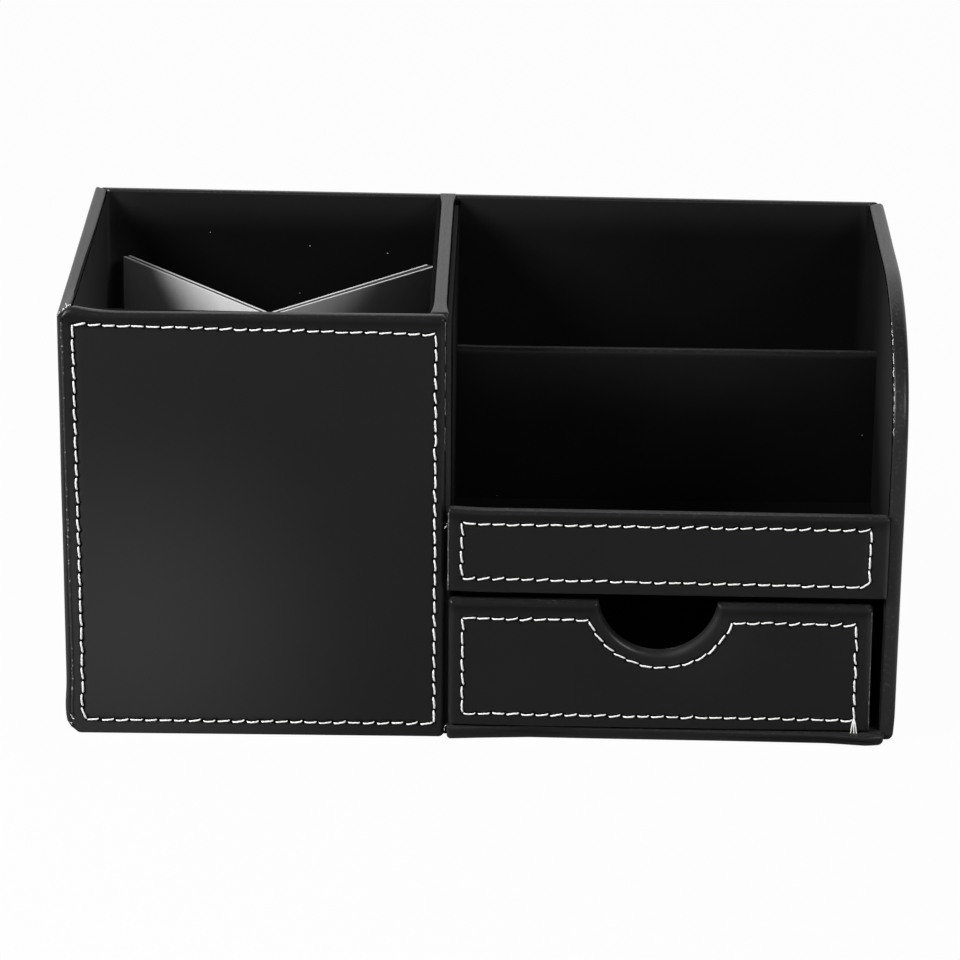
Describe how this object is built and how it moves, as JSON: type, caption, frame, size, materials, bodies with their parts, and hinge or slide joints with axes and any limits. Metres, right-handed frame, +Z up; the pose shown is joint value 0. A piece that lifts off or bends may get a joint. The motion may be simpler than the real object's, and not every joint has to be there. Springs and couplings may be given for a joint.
{
  "type": "desk organizer with drawer",
  "caption": "Leather-wrapped desk organizer: pen box with a loose cross divider, two open pockets behind a low ledge, and a pull-out drawer with a half-round finger cut-out.",
  "frame": {"origin": "middle of the underside, on the surface that the organizer stands on", "axes": "+X to the right along the width, +Y from the front to the back, +Z up"},
  "size_m": [0.25, 0.14, 0.132],
  "materials": {
    "board": "raw fibreboard",
    "black_leather": "smooth semi-gloss imitation leather",
    "black_lining": "short matt nap",
    "black_felt": "matt felt",
    "black_paper": "matt covering paper",
    "white_thread": "twisted polyester thread",
    "grey_card": "raw grey card",
    "grey_facing": "smooth light grey facing paper"
  },
  "bodies": {
    "carcass": {"pen_front_board": "board", "left_wall_board": "board", "partition_board": "board", "back_board": "board", "right_wall_board": "board", "pen_floor_board": "board", "base_board": "board", "shelf_board": "board", "ledge_board": "board", "mid_divider_board": "board", "pen_front_leather": "black_leather", "left_wall_leather": "black_leather", "partition_leather": "black_leather", "back_leather": "black_leather", "mid_divider_cover": "black_leather", "right_wall_leather": "black_leather", "base_leather": "black_leather", "ledge_leather": "black_leather", "pen_front_lining": "black_lining", "pen_left_lining": "black_lining", "pen_right_lining": "black_lining", "pen_back_lining": "black_lining", "pen_floor_lining": "black_lining", "letter_left_lining": "black_lining", "letter_right_lining": "black_lining", "letter_back_lining": "black_lining", "shelf_lining": "black_lining", "ledge_lining": "black_lining", "pen_front_stitching": "white_thread", "ledge_stitching": "white_thread", "bay_liner_board": "grey_card", "base_felt": "black_felt"},
    "drawer": {"drawer_front_board": "board", "drawer_floor": "board", "drawer_left_side": "board", "drawer_right_side": "board", "drawer_back_panel": "board", "drawer_front_leather": "black_leather", "drawer_front_stitching": "white_thread", "drawer_wrap": "black_paper", "drawer_front_lining": "black_lining", "drawer_left_lining": "black_lining", "drawer_right_lining": "black_lining", "drawer_back_lining": "black_lining", "drawer_floor_lining": "black_lining"},
    "pen_divider": {"divider_board_a": "grey_card", "divider_board_b": "grey_card", "divider_facings_a": "grey_facing", "divider_facings_b": "grey_facing"}
  },
  "joints": [
    {"name": "drawer_slide", "type": "slide", "parent": "carcass", "child": "drawer", "axis": [0, -1, 0], "range_m": [0, 0.11]},
    {"name": "divider_lift", "type": "slide", "parent": "carcass", "child": "pen_divider", "axis": [0, 0, 1], "range_m": [0, 0.132]}
  ]
}
